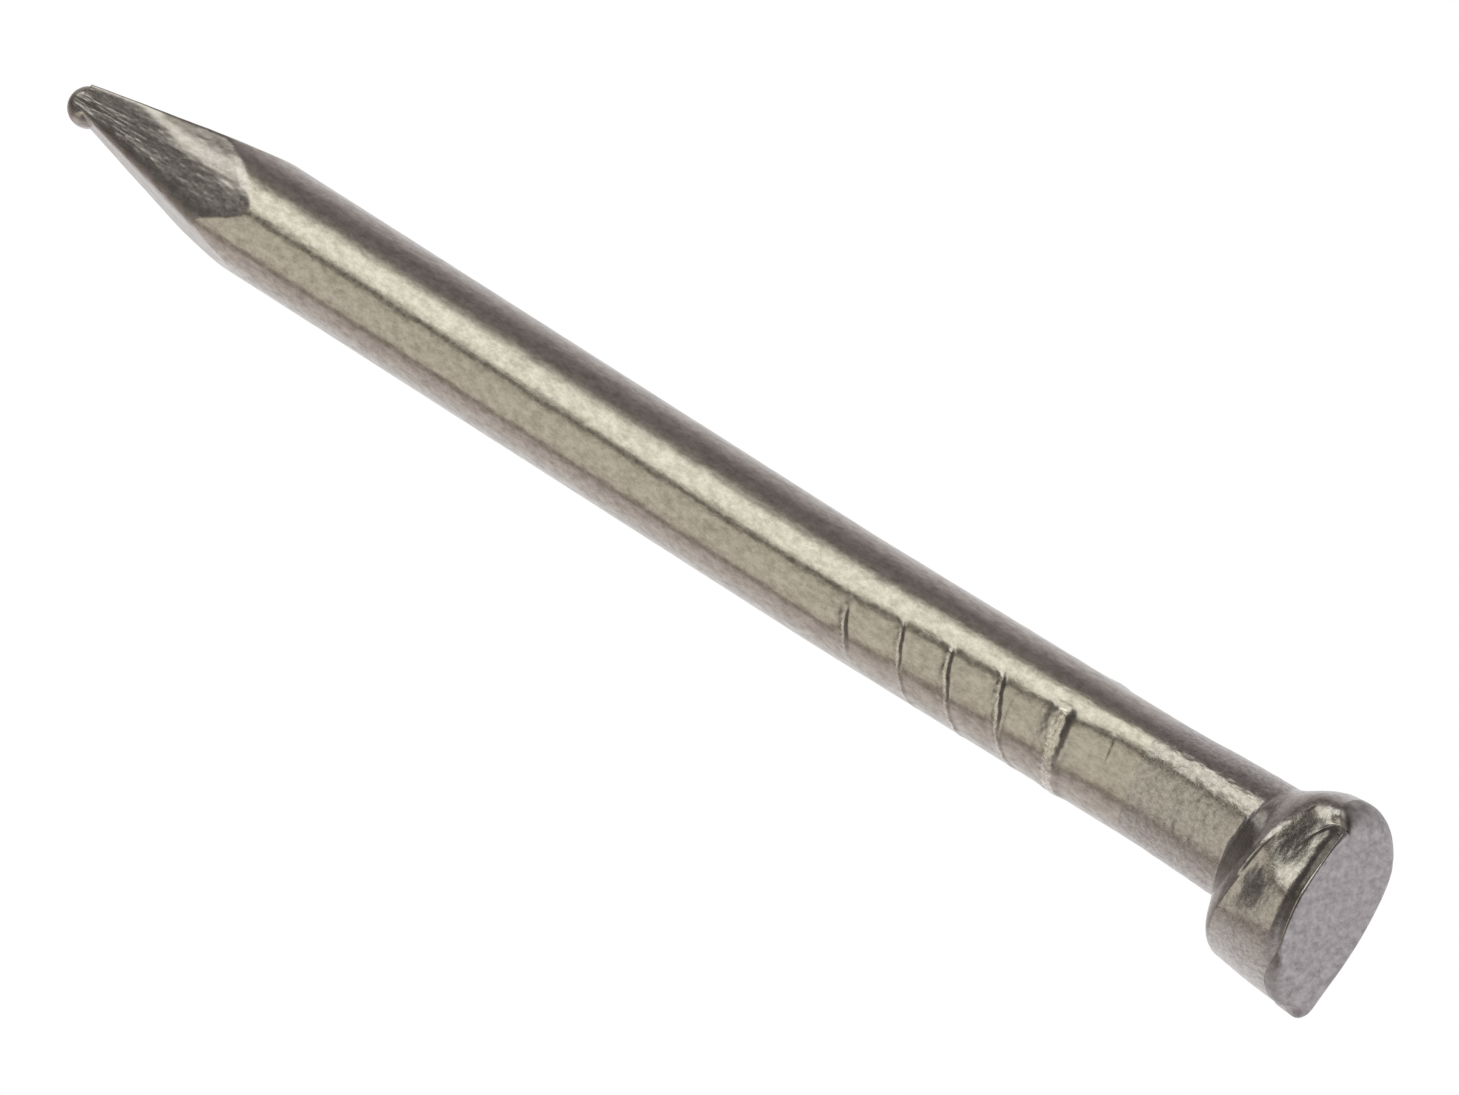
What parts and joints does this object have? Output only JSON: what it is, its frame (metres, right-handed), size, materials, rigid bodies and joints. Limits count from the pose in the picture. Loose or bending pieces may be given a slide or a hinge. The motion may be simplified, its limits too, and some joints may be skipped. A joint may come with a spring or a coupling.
{
  "type": "panel pin nail",
  "caption": "Short round wire nail with a small off-centre head, slanted grip marks under the neck and a pinched four-sided point.",
  "frame": {"origin": "where the axis of the plain shank meets the striking face of the head", "axes": "+Z along the plain shank, from the tip to the head; -X is the side that the head leans to; the two grip dies pressed from azimuths -46 and 134 degrees, counted from +X towards +Y"},
  "size_m": [0.0028, 0.003, 0.0205],
  "materials": {
    "drawn_steel": "bright drawn mild steel wire, fine-grained",
    "formed_steel": "cold-formed mild steel, mottled satin"
  },
  "bodies": {
    "root": {"point": "formed_steel", "plain_shank": "drawn_steel", "gripped_shank": "drawn_steel", "neck": "formed_steel", "head": "formed_steel"}
  },
  "joints": []
}
